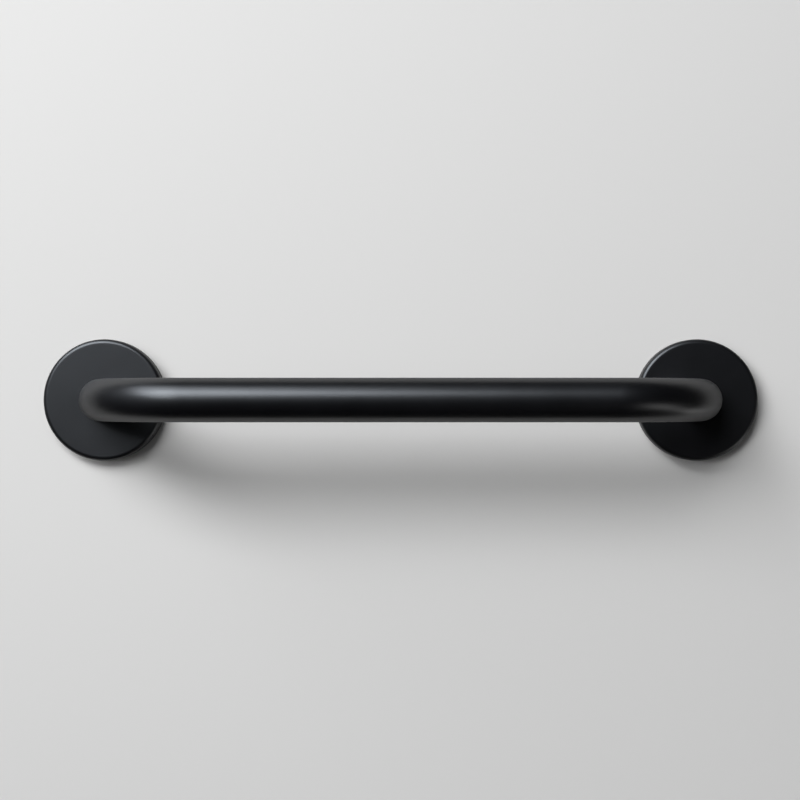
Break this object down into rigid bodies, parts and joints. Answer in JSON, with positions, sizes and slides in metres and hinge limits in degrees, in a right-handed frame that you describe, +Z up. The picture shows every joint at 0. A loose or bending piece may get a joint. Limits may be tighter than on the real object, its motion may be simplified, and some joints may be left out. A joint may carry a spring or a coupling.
{
  "type": "grab bar",
  "caption": "Straight round-tube grab bar for a bath or shower, bent to the wall at both ends, with round covers over its screwed wall flanges, in satin black.",
  "frame": {"origin": "on the wall plane, midway between the centres of the two flanges", "axes": "+X along the bar, to the right seen from the room; +Y into the wall; +Z up; the bar stands off the wall towards -Y"},
  "size_m": [0.482, 0.129, 0.082],
  "materials": {
    "black_coat": "satin black powder coat on steel",
    "screw_steel": "plain stainless steel"
  },
  "bodies": {
    "root": {"bar_tube": "black_coat", "left_flange": "black_coat", "right_flange": "black_coat", "left_weld": "black_coat", "right_weld": "black_coat", "left_cover": "black_coat", "right_cover": "black_coat", "left_screws": "screw_steel", "right_screws": "screw_steel"}
  },
  "joints": []
}
